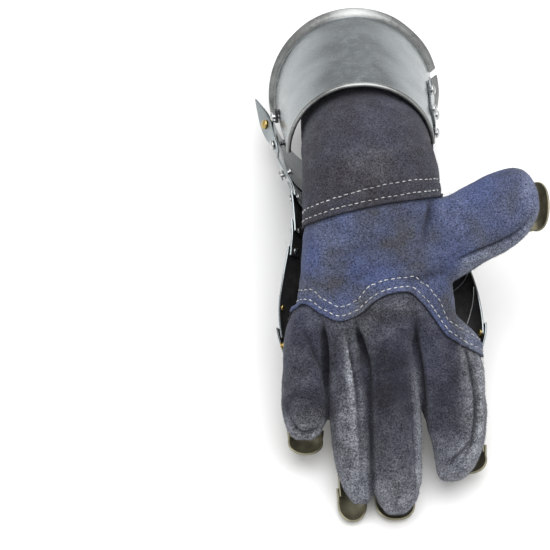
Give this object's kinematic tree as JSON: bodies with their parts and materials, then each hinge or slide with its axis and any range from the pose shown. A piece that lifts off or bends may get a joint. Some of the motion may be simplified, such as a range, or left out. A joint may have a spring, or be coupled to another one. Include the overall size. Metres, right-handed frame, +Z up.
{
  "type": "armoured gauntlet",
  "caption": "Steel gauntlet with a hinged hourglass cuff and sliding back plates over a suede glove, lying with its palm up.",
  "frame": {"origin": "on the table under the middle of the gauntlet's outline", "axes": "+Z up, +Y from the fingertips to the rim of the cuff, +X towards the thumb"},
  "size_m": [0.1846, 0.346, 0.1246],
  "materials": {
    "polished_steel": "satin polished mild steel with fine scratches",
    "dark_steel": "dark oiled steel",
    "brass": "polished brass",
    "suede": "blue-grey suede with a short nap",
    "black_leather": "smooth black leather"
  },
  "bodies": {
    "root": {"glove_sleeve": "suede", "glove_palm_and_thumb": "suede", "glove_fingers": "suede", "cuff_palm_plate": "polished_steel", "cuff_back_plate": "polished_steel", "hinge_leaf_palm": "polished_steel", "hinge_leaf_back": "polished_steel", "closing_leaf": "polished_steel", "closing_strap": "black_leather", "hinge_pin": "polished_steel", "wrist_lame_1": "polished_steel", "wrist_lame_2": "polished_steel", "wrist_lame_3": "polished_steel", "hand_plate": "polished_steel", "knuckle_plate": "polished_steel", "little_scale_1": "dark_steel", "little_scale_2": "dark_steel", "little_scale_3": "dark_steel", "little_scale_4": "dark_steel", "little_strip": "black_leather", "ring_scale_1": "dark_steel", "ring_scale_2": "dark_steel", "ring_scale_3": "dark_steel", "ring_scale_4": "dark_steel", "ring_scale_5": "dark_steel", "ring_strip": "black_leather", "middle_scale_1": "dark_steel", "middle_scale_2": "dark_steel", "middle_scale_3": "dark_steel", "middle_scale_4": "dark_steel", "middle_scale_5": "dark_steel", "middle_strip": "black_leather", "index_scale_1": "dark_steel", "index_scale_2": "dark_steel", "index_scale_3": "dark_steel", "index_scale_4": "dark_steel", "index_strip": "black_leather", "thumb_scale_1": "dark_steel", "thumb_scale_2": "dark_steel", "thumb_scale_3": "dark_steel", "thumb_scale_4": "dark_steel", "thumb_strip": "black_leather", "lame_rivet_left_1": "polished_steel", "lame_rivet_right_1": "polished_steel", "lame_rivet_left_2": "polished_steel", "lame_rivet_right_2": "polished_steel", "lame_rivet_left_3": "polished_steel", "lame_rivet_right_3": "polished_steel", "lame_rivet_left_4": "polished_steel", "lame_rivet_right_4": "polished_steel", "hinge_rivet_palm_1": "polished_steel", "hinge_rivet_palm_2": "polished_steel", "hinge_rivet_back_1": "polished_steel", "hinge_rivet_back_2": "polished_steel", "closing_rivet_steel": "polished_steel", "closing_rivet_brass": "brass", "closing_rivet_palm": "polished_steel"}
  },
  "joints": []
}
